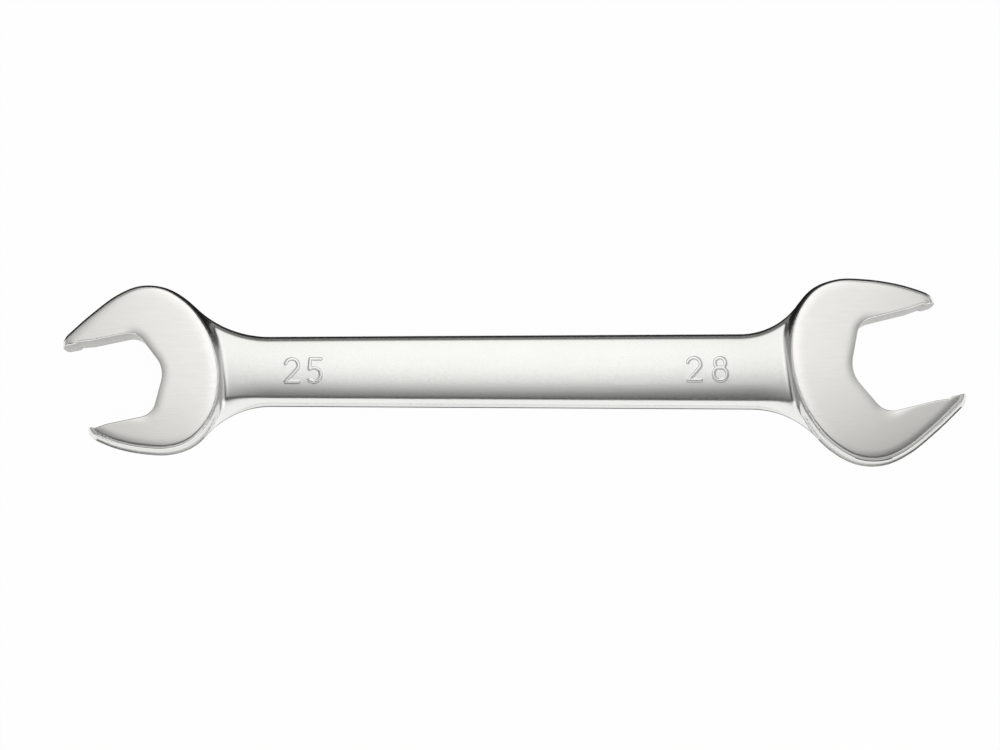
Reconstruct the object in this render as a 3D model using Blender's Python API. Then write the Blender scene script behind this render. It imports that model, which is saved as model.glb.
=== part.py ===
# Double open end wrench for 25 mm and 28 mm nuts, one drop forging in chrome vanadium steel.
#
# It is built in the order in which the real one is made. Two head blanks and a crowned shank
# are forged as one body, with draft and rounded corners down to the parting line at mid
# height. The heads are ground flat, and the two hexagonal jaws are broached out of them.
#
# Frame: X runs along the shank towards the large head, Y across it, Z up. The underside of
# the heads is at Z = 0, and the origin is the middle of the footprint.
# All lengths are in metres.

import math

import bmesh
import bpy
import numpy as np

MM = 0.001
DEGREE = math.pi / 180.0

# Jaws
SMALL_NUT = 25.0 * MM          # across the flats
LARGE_NUT = 28.0 * MM
JAW_CLEARANCE = 0.2 * MM       # opening over nut size
JAW_CHAMFER = 0.25 * MM        # broken edge where the jaw meets the ground faces
TIP_RADIUS = 1.0 * MM          # inner corner of each jaw tip
GROOVE_DEPTH = 0.45 * MM       # anti-slip groove near each tip
GROOVE_RADIUS = 0.15 * MM       # its corners, where the chamfer ends
THROAT_CORNER_SHARE = 0.2      # radius of the hexagon's side corners over the opening
THROAT_BACK_SHARE = 0.33       # radius of the hexagon's back corner over the opening

# Heads
HEAD_THICKNESS = 9.8 * MM
HEAD_CORNER_RADIUS = 3.0 * MM  # forged corner that the grinding cuts into
HEAD_DRAFT = 10.0 * DEGREE
GROUND_EDGE_ANGLE = 55.0 * DEGREE  # slope of the forged corner where the ground face cuts it
SMALL_HEAD_TURN = 12.0 * DEGREE
LARGE_HEAD_TURN = 14.0 * DEGREE
NUT_SPAN = 231.5 * MM          # from nut centre to nut centre, along the shank
NUT_RISE = 6.2 * MM            # and across it

# Shank
SHANK_THICKNESS = 7.6 * MM     # at the middle of the crown
SMALL_SHANK_WIDTH = 20.35 * MM
LARGE_SHANK_WIDTH = 23.05 * MM
CROWN_RADIUS = 40.0 * MM
CROWN_SPREAD_SHARE = 0.33      # how far the crown flattens as the shank flares
EDGE_RADIUS = 2.5 * MM         # rounded edge that runs from the crown to the parting land
PARTING_LAND = 0.6 * MM        # narrow flat left round the shank where the flash is trimmed
COVE_RADIUS = 1.8 * MM         # fillet between the shank's face and the wall of a head
COVE_ANGLE = 60.0 * DEGREE
SMALL_SHORT_FLARE = 25.0 * MM  # radii in plan where the shank widens into the small head,
SMALL_LONG_FLARE = 31.0 * MM   # on its short jaw's side and on its long jaw's side
LARGE_SHORT_FLARE = 21.0 * MM
LARGE_LONG_FLARE = 26.0 * MM
FLARE_SINK = 0.2 * MM          # how far a flare runs into the head that it meets
SHANK_SINK = 3.0 * MM          # how far the shank runs on inside each head
FACE_SINK = 0.3 * MM           # and how far it stays below the ground face there

# Facets
OUTLINE_STEPS = 96             # round a head's parting outline
CURVE_STEPS = 16               # between two points of that outline, before it is evened out
SEARCH_STEPS = 40              # halvings in the search for a flare's place
CORNER_STEPS = 4
THROAT_STEPS = 8
SECTION_STEPS = 9
COVE_STATIONS = 20
FLARE_STATIONS = 5
MIDDLE_STATIONS = 5
SMOOTH_ANGLE = 28.0 * DEGREE
OVERRUN = 2.0 * MM             # how far a cutter reaches past the metal

# Parting outline of a head as shares of the jaw opening: first towards the mouth, then to
# the left of that. It goes from the short jaw's tip round the back to the long jaw's tip,
# and closes across the mouth, which the broach removes.
HEAD_OUTLINE_SHARES = (
    (0.440, 0.600), (0.330, 0.690), (0.120, 0.810), (-0.160, 0.925), (-0.460, 1.000),
    (-0.740, 0.965), (-0.980, 0.800), (-1.150, 0.560), (-1.245, 0.240), (-1.255, -0.100),
    (-1.185, -0.420), (-1.030, -0.720), (-0.790, -0.950), (-0.500, -1.035), (-0.200, -0.980),
    (0.120, -0.828), (0.360, -0.690), (0.480, -0.605), (0.525, -0.490), (0.515, -0.200),
    (0.490, 0.200), (0.473, 0.480),
)
WIDEST_SHARE = -0.5                 # where a head is widest
SMALL_HEAD_SHARES = (0.977, 1.025, 1.025, 0.88)  # fullness of the short side, long side and back,
LARGE_HEAD_SHARES = (1.015, 0.973, 0.967, 1.0)   # and reach of the short jaw
THROAT_SIDE_SHARE = 0.365        # the hexagon of the throat, eased a little behind the flats
THROAT_END_SHARE = 0.603
GROOVE_SHARES = (0.345, 0.315, 0.17)  # tip side, deepest point and throat side of a groove
SHORT_TIP_SHARE = 0.48
LONG_TIP_SHARE = 0.53


def make_head(name, nut, side, turn, flares, shape_shares):
    """Size, place and parting outline of one head. Side is -1 at the small end, 1 at the large."""
    short_share, long_share, back_share, reach_share = shape_shares
    head = {
        "name": name,
        "opening": nut + JAW_CLEARANCE,
        "side": side,
        "centre": np.array((side * NUT_SPAN / 2, side * NUT_RISE / 2)),
        "turn": turn if side > 0 else turn + math.pi,
        "flares": flares,
        "short_tip": SHORT_TIP_SHARE * reach_share,
    }
    shares = []
    for along, across in HEAD_OUTLINE_SHARES:
        behind = min(along - WIDEST_SHARE, 0.0)
        ahead = max(along, 0.0) if across > 0 else 0.0
        across *= short_share if across > 0 else long_share
        shares.append((along + behind * (back_share - 1) + ahead * (reach_share - 1), across))
    head["outline"] = place_in_head(head, spline_loop(shares, OUTLINE_STEPS))
    return head


def place_in_head(head, shares):
    """Plan points from shares of the jaw opening in a head's own directions."""
    mouth = np.array((math.cos(head["turn"]), math.sin(head["turn"])))
    left = np.array((-mouth[1], mouth[0]))
    points = np.asarray(shares) * head["opening"]
    return head["centre"] + points[:, :1] * mouth + points[:, 1:] * left


def spline_loop(points, count):
    """A closed smooth curve through the points, sampled at equal steps along its length."""
    points = np.asarray(points, dtype=float)
    before, after = np.roll(points, 1, axis=0), np.roll(points, -1, axis=0)
    beyond = np.roll(points, -2, axis=0)
    dense = []
    for t in np.linspace(0.0, 1.0, CURVE_STEPS, endpoint=False):
        dense.append(0.5 * (2 * points + (after - before) * t
                            + (2 * before - 5 * points + 4 * after - beyond) * t ** 2
                            + (3 * points - before - 3 * after + beyond) * t ** 3))
    dense = np.stack(dense, axis=1).reshape(-1, 2)
    return even_loop(dense, count)


def even_loop(loop, count):
    """The same closed curve with its points at equal steps."""
    closed = np.vstack((loop, loop[:1]))
    steps = np.hypot(*np.diff(closed, axis=0).T)
    along = np.concatenate(([0.0], np.cumsum(steps)))
    wanted = np.linspace(0.0, along[-1], count, endpoint=False)
    return np.column_stack([np.interp(wanted, along, closed[:, axis]) for axis in (0, 1)])


def rounded_loop(corners):
    """A closed polygon with each corner rounded to its own radius: (point, radius) pairs."""
    points = []
    for index, (corner, radius) in enumerate(corners):
        corner = np.asarray(corner)
        if radius == 0:
            points.append(corner)
            continue
        towards = np.asarray(corners[index - 1][0]) - corner
        away = np.asarray(corners[(index + 1) % len(corners)][0]) - corner
        towards, away = towards / np.hypot(*towards), away / np.hypot(*away)
        half = math.acos(float(np.clip(towards @ away, -1.0, 1.0))) / 2
        bisector = (towards + away) / np.hypot(*(towards + away))
        middle = corner + bisector * radius / math.sin(half)
        first = corner + towards * radius / math.tan(half) - middle
        last = corner + away * radius / math.tan(half) - middle
        for step in range(THROAT_STEPS + 1):
            share = step / THROAT_STEPS
            spoke = first * (1 - share) + last * share
            points.append(middle + spoke * radius / np.hypot(*spoke))
    return np.array(points)


def inset_loop(loop, distance):
    """The loop moved inwards by a distance, or outwards by a negative one."""
    before, after = np.roll(loop, 1, axis=0), np.roll(loop, -1, axis=0)
    first, second = loop - before, after - loop
    first = first / np.hypot(*first.T)[:, None]
    second = second / np.hypot(*second.T)[:, None]
    normals = np.column_stack((-(first + second)[:, 1], (first + second)[:, 0]))
    normals = normals / np.hypot(*normals.T)[:, None]
    stretch = (-first[:, 1] * normals[:, 0] + first[:, 0] * normals[:, 1])[:, None]
    area = np.sum(loop[:, 0] * after[:, 1] - loop[:, 1] * after[:, 0])
    return loop + normals * (math.copysign(distance, distance * area) / stretch)


def outline_distance(loop, point):
    """Distance from a plan point to a closed outline, negative inside it."""
    point = np.asarray(point)
    start, end = loop, np.roll(loop, -1, axis=0)
    edge = end - start
    share = np.clip(np.sum((point - start) * edge, axis=1) / np.sum(edge * edge, axis=1), 0.0, 1.0)
    gap = np.min(np.hypot(*(start + edge * share[:, None] - point).T))
    crosses = (start[:, 1] > point[1]) != (end[:, 1] > point[1])
    where = start[crosses, 0] + (point[1] - start[crosses, 1]) * edge[crosses, 0] / edge[crosses, 1]
    inside = np.count_nonzero(where > point[0]) % 2 == 1
    return -gap if inside else gap


def side_profile():
    """Inset and height of a head's forged side, from the parting line up to the ground face."""
    half = HEAD_THICKNESS / 2
    lift = math.sin(GROUND_EDGE_ANGLE) - math.sin(HEAD_DRAFT)
    radius = min(HEAD_CORNER_RADIUS, half / (2 * lift))
    straight = half - radius * lift
    profile = [(0.0, 0.0)]
    for step in range(CORNER_STEPS + 1):
        angle = HEAD_DRAFT + (GROUND_EDGE_ANGLE - HEAD_DRAFT) * step / CORNER_STEPS
        inset = straight * math.tan(HEAD_DRAFT) + radius * (math.cos(HEAD_DRAFT) - math.cos(angle))
        profile.append((inset, straight + radius * (math.sin(angle) - math.sin(HEAD_DRAFT))))
    return profile


def loft(name, rings, collection):
    """A closed solid through rings with the same number of points, capped at both ends."""
    mesh = bpy.data.meshes.new(name)
    work = bmesh.new()
    rows = [[work.verts.new(point) for point in ring] for ring in rings]
    for lower, upper in zip(rows, rows[1:]):
        for index in range(len(lower)):
            after = (index + 1) % len(lower)
            work.faces.new((lower[index], lower[after], upper[after], upper[index]))
    work.faces.new(rows[0][::-1])
    work.faces.new(rows[-1])
    bmesh.ops.recalc_face_normals(work, faces=work.faces)
    work.to_mesh(mesh)
    work.free()
    solid = bpy.data.objects.new(name, mesh)
    collection.objects.link(solid)
    return solid


def at_height(loop, height):
    """Plan points lifted to one height."""
    return [(x, y, height) for x, y in loop]


def build_head_blank(head, collection):
    """The head before broaching: drafted sides, rounded corners and two ground faces."""
    profile = side_profile()
    upper = [at_height(inset_loop(head["outline"], inset), height) for inset, height in profile]
    lower = [at_height(inset_loop(head["outline"], inset), -height) for inset, height in profile[1:]]
    return loft(head["name"] + "_blank", lower[::-1] + upper, collection)


def build_broach(head, collection):
    """The tool that cuts the jaw: a hexagonal throat, two grooved flats and chamfered edges."""
    opening = head["opening"]
    flat = opening / 2
    outer = opening + OVERRUN
    tip_side, deepest, throat_side = (share * opening for share in GROOVE_SHARES)
    short_tip, long_tip = head["short_tip"] * opening, LONG_TIP_SHARE * opening
    clear = flat + 2 * TIP_RADIUS
    soft = GROOVE_RADIUS + JAW_CHAMFER
    corners = [
        ((outer, clear), 0),
        ((short_tip, clear), 0),
        ((short_tip, flat), TIP_RADIUS),
        ((tip_side, flat), soft),
        ((deepest, flat + GROOVE_DEPTH), soft),
        ((throat_side, flat), soft),
        ((-THROAT_SIDE_SHARE * opening, flat), THROAT_CORNER_SHARE * opening),
        ((-THROAT_END_SHARE * opening, 0), THROAT_BACK_SHARE * opening),
        ((-THROAT_SIDE_SHARE * opening, -flat), THROAT_CORNER_SHARE * opening),
        ((throat_side, -flat), soft),
        ((deepest, -flat - GROOVE_DEPTH), soft),
        ((tip_side, -flat), soft),
        ((long_tip, -flat), TIP_RADIUS),
        ((long_tip, -clear), 0),
        ((outer, -clear), 0),
    ]
    loop = place_in_head(head, rounded_loop(corners) / opening)
    half = HEAD_THICKNESS / 2
    rings = []
    for height, widening in ((half - JAW_CHAMFER, 0), (half, JAW_CHAMFER), (half + OVERRUN, JAW_CHAMFER)):
        rings.append(at_height(inset_loop(loop, -widening), height))
        rings.insert(0, at_height(inset_loop(loop, -widening), -height))
    return loft(head["name"] + "_broach", rings, collection)


def straight_half_width(x):
    """Half the shank's width at a station, before it flares."""
    share = min(max(x / NUT_SPAN + 0.5, 0.0), 1.0)
    return (SMALL_SHANK_WIDTH * (1 - share) + LARGE_SHANK_WIDTH * share) / 2


def find_flare(head, edge):
    """Where the shank's edge on one side (1 or -1 in Y) leaves its line to meet a head."""
    short_flare, long_flare = head["flares"]
    radius = short_flare if edge == head["side"] else long_flare
    near, far = head["centre"][0], 0.0
    for _ in range(SEARCH_STEPS):
        start = (near + far) / 2
        centre = (start, edge * (straight_half_width(start) + radius))
        if outline_distance(head["outline"], centre) < radius - FLARE_SINK:
            near = start
        else:
            far = start
    spokes = head["outline"] - np.array(centre)
    touch = head["outline"][np.argmin(np.hypot(*spokes.T))]
    return {"start": start, "radius": radius, "end": touch[0]}


def half_width(x, edge, flares):
    """Half the shank's width on one side at a station, flares included."""
    width = straight_half_width(x)
    for side in (-1, 1):
        flare = flares[side, edge]
        run = side * (x - flare["start"])
        if run > 0:
            run = min(run, abs(flare["end"] - flare["start"]))
            width += flare["radius"] - math.sqrt(flare["radius"] ** 2 - run ** 2)
    return width


def crown_height(y, width, radius):
    """Height of the crown and of the rounded edge that is tangent to it and ends at the width."""
    land = PARTING_LAND / 2
    crown_middle = SHANK_THICKNESS / 2 - radius
    reach = radius - EDGE_RADIUS
    span = math.hypot(width, land - crown_middle)
    turn = (reach ** 2 + span ** 2 - EDGE_RADIUS ** 2) / (2 * reach * span)
    angle = math.atan2(land - crown_middle, width) + math.acos(min(turn, 1.0))
    edge_y, edge_z = reach * math.cos(angle), crown_middle + reach * math.sin(angle)
    if abs(y) < edge_y * radius / reach:
        return crown_middle + math.sqrt(radius ** 2 - y ** 2)
    return max(edge_z + math.sqrt(max(EDGE_RADIUS ** 2 - (abs(y) - edge_y) ** 2, 0.0)), land)


def shank_height(x, y, width, heads):
    """Height of the shank's face above the parting plane, with the coves at the heads."""
    spread = width / straight_half_width(x) - 1
    height = crown_height(y, width, CROWN_RADIUS * (1 + CROWN_SPREAD_SHARE * spread))
    fullness = height / (SHANK_THICKNESS / 2)
    height += fullness * sum(cove_rise(outline_distance(head["outline"], (x, y))) for head in heads)
    return min(height, HEAD_THICKNESS / 2 - FACE_SINK)


def cove_rise(gap):
    """Rise of the fillet at a distance outside a head's parting outline."""
    run = COVE_RADIUS * math.tan(COVE_ANGLE / 2) - side_profile()[1][0] - gap
    run = min(max(run, 0.0), COVE_RADIUS * math.sin(COVE_ANGLE))
    return COVE_RADIUS - math.sqrt(COVE_RADIUS ** 2 - run ** 2)


def shank_stations(heads, flares):
    """Places of the shank's sections: close together at the coves, wide apart in the middle."""
    stations = []
    for head in heads:
        side = head["side"]
        back = max(-side * head["outline"][:, 0]) * -side
        starts = [flares[side, edge]["start"] for edge in (-1, 1)]
        ends = [flares[side, edge]["end"] for edge in (-1, 1)]
        inner = min(starts, key=abs)
        root = back - side * COVE_RADIUS
        deep = max(ends, key=abs) + side * SHANK_SINK
        stations += list(np.linspace(inner, root, FLARE_STATIONS, endpoint=False))
        stations += list(np.linspace(root, deep, COVE_STATIONS))
    small, large = (min((x for x in stations if x * head["side"] > 0), key=abs) for head in heads)
    stations += list(np.linspace(small, large, MIDDLE_STATIONS + 2)[1:-1])
    return sorted(stations)


def build_shank(heads, collection):
    """The crowned shank, lofted through its sections, with its flares and coves."""
    flares = {(head["side"], edge): find_flare(head, edge) for head in heads for edge in (-1, 1)}
    rings = []
    for x in shank_stations(heads, flares):
        upper = []
        for step in range(-SECTION_STEPS, SECTION_STEPS + 1):
            edge = -1 if step < 0 else 1
            width = half_width(x, edge, flares)
            y = width * math.sin(math.pi / 2 * step / SECTION_STEPS)
            z = shank_height(x, y, width, heads) if abs(step) < SECTION_STEPS else PARTING_LAND / 2
            upper.append((x, y, z))
        lower = [(x, y, -z) for x, y, z in reversed(upper)]
        rings.append(upper + lower)
    return loft("shank", rings, collection)


def combine(body, other, operation):
    """Joins another solid to the body, or cuts it out."""
    modifier = body.modifiers.new(other.name, "BOOLEAN")
    modifier.operation = operation
    modifier.solver = "EXACT"
    modifier.object = other
    other.hide_render = True
    other.display_type = "WIRE"


def apply_modifiers(body):
    """Turns the evaluated body into its own mesh."""
    depsgraph = bpy.context.evaluated_depsgraph_get()
    mesh = bpy.data.meshes.new_from_object(body.evaluated_get(depsgraph))
    body.modifiers.clear()
    rough = body.data
    body.data = mesh
    bpy.data.meshes.remove(rough)


def footprint_shift(mesh):
    """The move that centres the footprint on the origin and stands the heads on Z = 0."""
    corners = np.array([vertex.co for vertex in mesh.vertices])
    low, high = corners.min(axis=0), corners.max(axis=0)
    return -(low[0] + high[0]) / 2, -(low[1] + high[1]) / 2, -low[2]


def satin_chrome():
    """Chrome plate over a bead blasted forging."""
    material = bpy.data.materials.new("satin_chrome")
    material.use_nodes = True
    shader = material.node_tree.nodes["Principled BSDF"]
    shader.inputs["Base Color"].default_value = (0.66, 0.66, 0.64, 1.0)
    shader.inputs["Metallic"].default_value = 1.0
    shader.inputs["Roughness"].default_value = 0.28
    return material


def new_collection(name):
    """A collection linked to the scene."""
    collection = bpy.data.collections.new(name)
    bpy.context.scene.collection.children.link(collection)
    return collection


def main():
    for old in list(bpy.data.objects):
        bpy.data.objects.remove(old, do_unlink=True)
    parts = new_collection("open_end_wrench")
    tools = new_collection("wrench_cutters")
    small_flares = (SMALL_SHORT_FLARE, SMALL_LONG_FLARE)
    large_flares = (LARGE_SHORT_FLARE, LARGE_LONG_FLARE)
    small = make_head("small_head", SMALL_NUT, -1, SMALL_HEAD_TURN, small_flares, SMALL_HEAD_SHARES)
    large = make_head("large_head", LARGE_NUT, 1, LARGE_HEAD_TURN, large_flares, LARGE_HEAD_SHARES)
    heads = (small, large)

    body = build_shank(heads, parts)
    body.name = "wrench_body"
    blanks = [build_head_blank(head, tools) for head in heads]
    broaches = [build_broach(head, tools) for head in heads]
    for blank in blanks:
        combine(body, blank, "UNION")
    for broach in broaches:
        combine(body, broach, "DIFFERENCE")
    apply_modifiers(body)

    shift = footprint_shift(body.data)
    for solid in [body] + blanks + broaches:
        solid.location = shift
    body.data.materials.clear()
    body.data.materials.append(satin_chrome())
    body.data.shade_smooth()
    body.data.set_sharp_from_angle(angle=SMOOTH_ANGLE)


main()
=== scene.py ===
# Looks of a double open end wrench: the smooth forging with its ground heads and broached jaws,
# the raised size numbers, satin chrome, and a pale studio with soft light.
# Sizes in the dictionaries are in millimetres, and every mesh is in metres, as the frame is.

import math

import bpy
import numpy as np
from mathutils import Matrix, Vector, kdtree
from mathutils.geometry import delaunay_2d_cdt


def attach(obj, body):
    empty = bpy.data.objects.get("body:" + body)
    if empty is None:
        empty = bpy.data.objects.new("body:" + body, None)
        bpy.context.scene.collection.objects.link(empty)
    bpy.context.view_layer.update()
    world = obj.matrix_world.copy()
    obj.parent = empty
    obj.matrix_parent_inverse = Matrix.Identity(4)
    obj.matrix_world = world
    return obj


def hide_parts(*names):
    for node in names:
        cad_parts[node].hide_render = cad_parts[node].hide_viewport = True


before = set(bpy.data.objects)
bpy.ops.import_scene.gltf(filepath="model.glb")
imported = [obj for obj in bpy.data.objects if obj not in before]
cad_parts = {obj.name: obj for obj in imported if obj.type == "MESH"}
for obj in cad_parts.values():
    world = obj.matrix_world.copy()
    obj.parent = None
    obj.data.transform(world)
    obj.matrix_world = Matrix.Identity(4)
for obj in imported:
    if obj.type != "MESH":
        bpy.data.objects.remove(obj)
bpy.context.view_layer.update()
mm = 0.001
print("frame loaded")


# Helpers for colours, nodes and objects

def linearColour(hexValue):
    channels = [int(hexValue[i:i + 2], 16) / 255 for i in (1, 3, 5)]
    return [c / 12.92 if c <= 0.04045 else ((c + 0.055) / 1.055) ** 2.4 for c in channels] + [1.0]


def addNode(tree, kind, settings=None, inputs=None):
    # an input's value is a plain value, a socket to link, or a node whose first output is linked
    node = tree.nodes.new(kind)
    for name, value in (settings or {}).items():
        setattr(node, name, value)
    for name, value in (inputs or {}).items():
        source = value.outputs[0] if isinstance(value, bpy.types.Node) else value
        if isinstance(source, bpy.types.NodeSocket):
            tree.links.new(source, node.inputs[name])
        else:
            node.inputs[name].default_value = source
    return node


def newGeometryTree(name, sizeNames):
    tree = bpy.data.node_groups.new(name, "GeometryNodeTree")
    tree.interface.new_socket("Geometry", in_out="INPUT", socket_type="NodeSocketGeometry")
    for sizeName in sizeNames:
        tree.interface.new_socket(sizeName, in_out="INPUT", socket_type="NodeSocketFloat")
    tree.interface.new_socket("Geometry", in_out="OUTPUT", socket_type="NodeSocketGeometry")
    return tree


def newObject(name, data):
    thing = bpy.data.objects.new(name, data)
    bpy.context.scene.collection.objects.link(thing)
    return thing


def growPiece(name, source, tree, values):
    # runs the tree on the source object and keeps the result as a plain mesh under the name
    modifier = source.modifiers.new("grow", "NODES")
    modifier.node_group = tree
    for item in tree.interface.items_tree:
        if item.in_out == "INPUT" and item.name in values:
            modifier[item.identifier] = values[item.name]
    ready = source.evaluated_get(bpy.context.evaluated_depsgraph_get())
    mesh = bpy.data.meshes.new_from_object(ready)
    mesh.name = name
    bpy.data.objects.remove(source)
    mesh.shade_smooth()
    return newObject(name, mesh)


# Materials, all of them chromium plate: the surface under the plate makes the difference

def newMaterial(name):
    material = bpy.data.materials.new(name)
    material.use_nodes = True
    return material, material.node_tree, material.node_tree.nodes["Principled BSDF"]


chrome = {
    "pale": "#efeeeb",
    "deep": "#e9e8e4",
    "satinPale": "#eaeae7",    # blasting leaves the plate a little less bright
    "satinDeep": "#e4e4e1",
    "dull": "#a9a8a5",         # the recess of a broached jaw takes a thinner plate
    "cloudSize": 18.0,         # slow change of tone along the plate
    "blastRoughness": 0.23,
    "blastGrain": 0.42,        # glass bead dents, drawn twice as wide as they are so that they show
    "blastDepth": 0.0018,
    "blastGlossSpread": 0.03,  # how far the roughness wanders from dent to dent
    "blastStretch": (1, 1, 1),  # of the grain along X, Y and Z: a small number draws lines
    "groundRoughness": 0.21,
    "groundGrain": 0.3,        # fine belt lines, also drawn wider than they are
    "groundDepth": 0.00025,
    "groundGlossSpread": 0.02,
    "groundStretch": (0.06, 1, 1),
    "broachRoughness": 0.3,
    "broachGrain": 0.35,
    "broachDepth": 0.006,
    "broachGlossSpread": 0.03,
    "broachStretch": (1, 1, 0.05),
    "cloudDetail": 3.0,
    "dentDetail": 2.0,
    "dentMix": 0.6,
    "dentRange": (0.3, 0.7),   # where the noise that makes the dents mostly lies
}


def makeChrome(name, tones, way):
    # metal keeps its default IOR; its tone drifts slowly, and the grain is in roughness and bump
    roughness, grain, depth, spread, stretch = (
        chrome[way + size] for size in ("Roughness", "Grain", "Depth", "GlossSpread", "Stretch"))
    low, high = chrome["dentRange"]
    material, tree, shader = newMaterial(name)
    place = addNode(tree, "ShaderNodeTexCoord").outputs["Object"]
    cloud = addNode(tree, "ShaderNodeTexNoise", {}, {
        "Vector": place, "Scale": 1 / (chrome["cloudSize"] * mm), "Detail": chrome["cloudDetail"]})
    tone = addNode(tree, "ShaderNodeMix", {"data_type": "RGBA"}, {
        "Factor": cloud, 6: linearColour(chrome[tones[0]]), 7: linearColour(chrome[tones[1]])})
    lined = addNode(tree, "ShaderNodeMapping", {}, {"Vector": place, "Scale": stretch})
    dents = addNode(tree, "ShaderNodeTexNoise", {}, {
        "Vector": lined, "Scale": 1 / (grain * mm), "Detail": chrome["dentDetail"],
        "Roughness": chrome["dentMix"]})
    gloss = addNode(tree, "ShaderNodeMapRange", {}, {
        "Value": dents, "From Min": low, "From Max": high,
        "To Min": roughness - spread, "To Max": roughness + spread})
    relief = addNode(tree, "ShaderNodeBump", {}, {"Height": dents, "Strength": 1.0, "Distance": depth * mm})
    tree.links.new(tone.outputs[2], shader.inputs["Base Color"])
    tree.links.new(gloss.outputs[0], shader.inputs["Roughness"])
    tree.links.new(relief.outputs[0], shader.inputs["Normal"])
    shader.inputs["Metallic"].default_value = 1.0
    return material


# Bead blasted forging, chromium plated: satin, with a fine sparkle where the light falls off
blastedChrome = makeChrome("bead_blasted_chrome", ("satinDeep", "satinPale"), "blast")
# Belt ground and polished face, chromium plated: closer to a mirror, with faint straight lines
groundChrome = makeChrome("ground_chrome", ("deep", "pale"), "ground")
# Broached jaw, chromium plated: duller, with lines through the thickness where the teeth passed
broachedChrome = makeChrome("broached_chrome", ("dull", "dull"), "broach")
print("materials")


# Plan of the forging, with X along the shank

forging = {
    "nuts": (25.0, 28.0),            # small end, large end
    "clearance": 0.2,
    "turns": (12.0, 14.0),           # degrees from the shank
    "nutSpan": 231.5,
    "nutRise": 6.2,
    "thickness": 9.8,
    "shankThickness": 7.6,
    "shankWidths": (20.35, 23.05),
    "shortFlares": (25.0, 21.0),
    "longFlares": (31.0, 26.0),
    "draft": 10.0,                   # degrees
    "cornerRadius": 3.0,
    "groundAngle": 55.0,             # slope of the corner's normal where the ground face cuts it
    "groundBreak": 0.32,
    "crownRadius": 40.0,
    "edgeWidth": 2.4,
    "partingLand": 0.25,             # half the height of the trimmed flash line
    "coveRadius": 4.2,
    "tipRadius": 1.0,
    "grooveDepth": 0.45,
    "grooveRadius": 0.3,
    "jawBreak": 0.25,                # rounded edge round a broached jaw
    "shankEnds": 100.0,              # the shank's form runs on under the heads to here
    "trim": 0.06,                    # keeps the smooth outline inside the solid's facets
}
headShares = (
    (0.440, 0.600), (0.330, 0.690), (0.120, 0.810), (-0.160, 0.925), (-0.460, 1.000),
    (-0.740, 0.965), (-0.980, 0.800), (-1.150, 0.560), (-1.245, 0.240), (-1.255, -0.100),
    (-1.185, -0.420), (-1.030, -0.720), (-0.790, -0.950), (-0.500, -1.035), (-0.200, -0.980),
    (0.120, -0.828), (0.360, -0.690), (0.480, -0.605), (0.525, -0.490), (0.515, -0.200),
    (0.490, 0.200), (0.473, 0.480),
)
headFormShares = (                       # fullness of short side, long side and back, short jaw's reach
    (0.977, 1.025, 1.025, 0.88), (1.015, 0.973, 0.967, 1.0))
widestShare = -0.5
throatShares = {"side": 0.365, "back": 0.603, "cornerRadius": 0.2, "backRadius": 0.33}
mouthShare = 1.2                         # from the centre to where the jaw's cut ends, past the tips
grooveShares = (0.345, 0.315, 0.17)      # tip side, deepest point, throat side
tipShares = (0.48, 0.53)                 # short jaw, long jaw
crownSpreadShare = 0.8                   # how far the crown flattens out in the flares
flareEdgeShare = 0.9                     # of a near flare's width that its edge takes up
flareEdgePower = 1.3                     # bend of that edge, straight at 1
flareHalvings = 40                       # of the search for the place where a flare starts
polishShares = {"tips": (0.0, 0.5), "throat": (-0.35, 0.0)}     # where the heavier polish sets in
sharpAngle = 50.0                        # degrees: a sharper edge is not shaded smooth
sheet = {
    "outlineStep": 0.5,
    "jawStep": 0.3,
    "leastGap": 0.02,                    # between two points of different rings
    "sameGap": 1e-9,                     # smaller differences than these count as none
    "samePoint": 1e-6,
    "creaseOffsets": (-0.16, -0.07, 0.0, 0.07, 0.16),           # from the ground face's edge
    "rimInsets": (0.04, 0.12, 0.24, 0.4, 0.6, 0.83, 1.08, 1.34, 1.5),
    "deepInsets": (2.15, 2.5, 2.9, 3.35, 3.85, 4.4),
    "fineInset": 0.3,                    # nearer to the rim than this, points may lie closer
    "rimSpacings": (0.035, 0.06),
    "jawOffsets": (0.02, 0.06, 0.13, 0.21, 0.32, 0.5, 0.75, 1.05, 1.4, 1.8, 2.3, 2.9, 3.5),
    "fineOffset": 0.1,
    "jawSpacings": (0.015, 0.08),
    "ringShare": 0.985,                  # a ring's point that is nearer to the loop than this is dropped
    "strokeShare": 0.98,
    "strokeSpacing": 0.45,               # of a stroke's step
    "strokeField": {"step": 0.3, "reach": 8.0, "gap": 1.2, "spacing": 0.16},        # round the digits
    "fieldSteps": (0.36, 0.75, 1.5),     # fine in the coves, wider on the heads and the shank
    "fieldSpacing": 0.72,                # of a field's step
    "fieldClear": 0.4,                   # from the rim and the jaws
    "cove": {"from": -3.2, "to": 2.2, "rim": 1.0, "end": 96.0},     # where the finest field lies
    "headRim": 7.5,                      # how far in from the rim the middle one reaches
}


def evenLine(line, step, leastSteps=8):
    along = np.concatenate(([0.0], np.cumsum(np.hypot(*np.diff(line, axis=0).T))))
    wanted = np.linspace(0.0, along[-1], max(leastSteps, round(along[-1] / step)) + 1)
    return np.column_stack([np.interp(wanted, along, line[:, k]) for k in (0, 1)])


def evenLoop(loop, step):
    return evenLine(np.vstack((loop, loop[:1])), step)[:-1]


def smoothLoop(points, steps=60):
    # closed curve through the points
    points = np.asarray(points, float)
    before, after, beyond = (np.roll(points, k, axis=0) for k in (1, -1, -2))
    dense = [0.5 * (2 * points + (after - before) * t
                    + (2 * before - 5 * points + 4 * after - beyond) * t ** 2
                    + (3 * points - before - 3 * after + beyond) * t ** 3)
             for t in np.linspace(0.0, 1.0, steps, endpoint=False)]
    return np.stack(dense, axis=1).reshape(-1, 2)


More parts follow.
